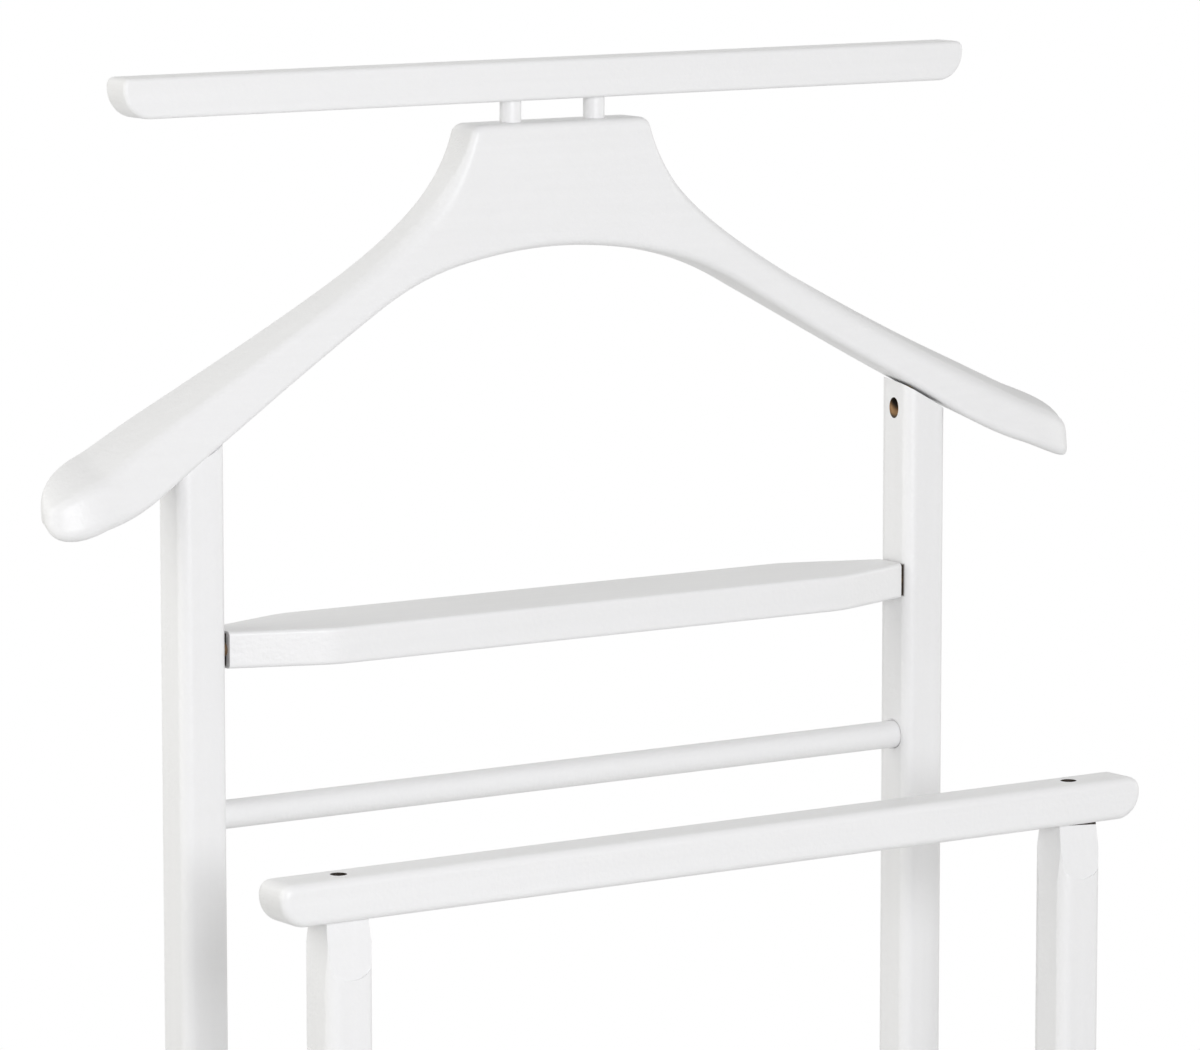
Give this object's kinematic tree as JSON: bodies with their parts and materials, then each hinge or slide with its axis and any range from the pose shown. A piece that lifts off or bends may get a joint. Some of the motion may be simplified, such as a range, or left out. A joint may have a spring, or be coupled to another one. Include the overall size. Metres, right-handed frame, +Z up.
{
  "type": "valet stand",
  "caption": "White painted wooden valet stand: contoured hanger with a tie bar above, tray, turning trouser rod, lower front rail and shoe rods on foot runners.",
  "frame": {"origin": "on the floor, midway between the two foot runners and midway along them", "axes": "+Z up, +Y to the back, +X to the right as seen from the front"},
  "size_m": [0.453, 0.24, 1.08],
  "materials": {
    "painted_wood": "satin white sprayed paint",
    "bare_wood": "bare, sanded",
    "zinc_screw": "yellow zinc plated",
    "glide_plastic": "matt"
  },
  "bodies": {
    "frame": {"hanger": "painted_wood", "tie_bar": "painted_wood", "tie_bar_dowel_left": "painted_wood", "tie_bar_dowel_right": "painted_wood", "rear_post_left": "painted_wood", "rear_post_right": "painted_wood", "tray": "painted_wood", "front_rail": "painted_wood", "front_post_left": "painted_wood", "front_post_right": "painted_wood", "shoe_rod_front": "painted_wood", "shoe_rod_rear": "painted_wood", "foot_left": "painted_wood", "foot_right": "painted_wood", "tray_pins_left": "bare_wood", "tray_pins_right": "bare_wood", "hanger_screws": "zinc_screw", "front_rail_screws": "zinc_screw", "shoe_rod_screws": "zinc_screw", "foot_screws": "zinc_screw", "glide_front_left": "glide_plastic", "glide_front_right": "glide_plastic", "glide_rear_left": "glide_plastic", "glide_rear_right": "glide_plastic"},
    "trouser_rod_body": {"trouser_rod": "painted_wood"}
  },
  "joints": [
    {"name": "trouser_rod_turn", "type": "hinge", "parent": "frame", "child": "trouser_rod_body", "pos_m": [0, 0.049, 0.8135], "axis": [1, 0, 0], "continuous": true}
  ]
}
